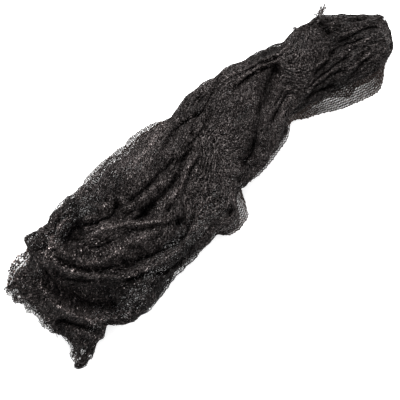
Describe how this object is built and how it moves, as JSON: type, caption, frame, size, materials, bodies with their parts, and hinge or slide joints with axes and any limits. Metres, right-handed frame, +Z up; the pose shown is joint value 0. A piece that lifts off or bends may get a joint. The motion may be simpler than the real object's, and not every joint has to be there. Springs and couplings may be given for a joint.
{
  "type": "gathered shade net",
  "caption": "Black knitted shade net gathered by hand into a loose twisted bundle with raw ends, lying flat, for shading, screening or scene dressing.",
  "frame": {"origin": "middle of the bundle's outline in plan, on the surface that it lies on", "axes": "+X along the bundle towards its narrow twisted end, +Z up from the surface"},
  "size_m": [0.5066, 0.1572, 0.0853],
  "materials": {
    "net": "black polyethylene knit of fine yarn and flat tape, semi-matt with small glints"
  },
  "bodies": {
    "root": {"shade_net": "net"}
  },
  "joints": []
}
